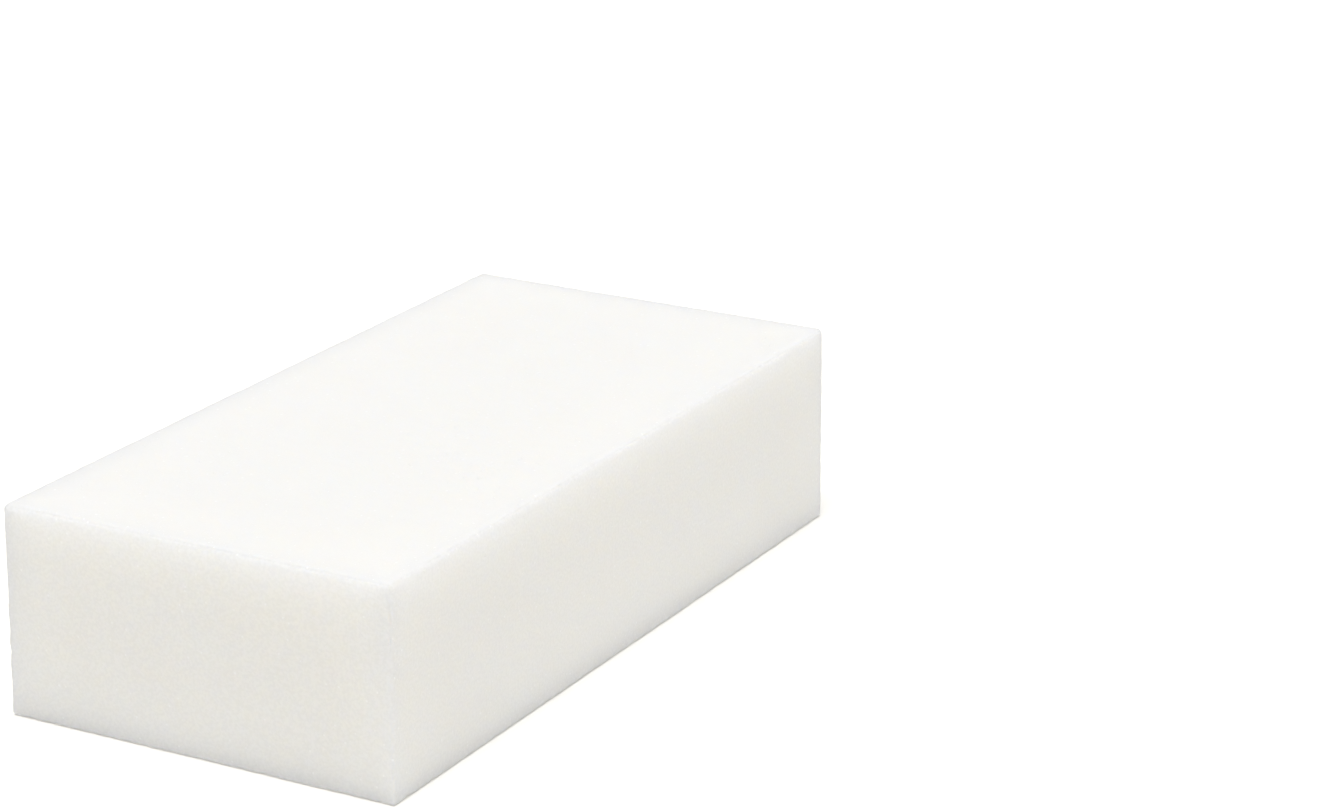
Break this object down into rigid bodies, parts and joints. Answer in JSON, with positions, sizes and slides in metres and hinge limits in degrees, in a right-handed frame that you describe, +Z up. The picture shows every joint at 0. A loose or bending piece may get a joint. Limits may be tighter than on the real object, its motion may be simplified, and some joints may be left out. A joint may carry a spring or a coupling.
{
  "type": "nail buffer block",
  "caption": "Rectangular white foam buffing block, wider than it is thick, with a fine abrasive coat on its long faces and bare cut foam ends, for filing and smoothing nails.",
  "frame": {"origin": "centre of the bottom face, on the surface that the block lies on", "axes": "+Y along the block's length, +Z up through its thickness, +X across its width, towards the long face called right"},
  "size_m": [0.05, 0.1, 0.025],
  "materials": {
    "foam": "matte",
    "bond_resin": "satin",
    "grit": "matte"
  },
  "bodies": {
    "root": {"foam_core": "foam", "top_bond_coat": "bond_resin", "bottom_bond_coat": "bond_resin", "right_bond_coat": "bond_resin", "left_bond_coat": "bond_resin", "top_grit_coat": "grit", "bottom_grit_coat": "grit", "right_grit_coat": "grit", "left_grit_coat": "grit"}
  },
  "joints": []
}
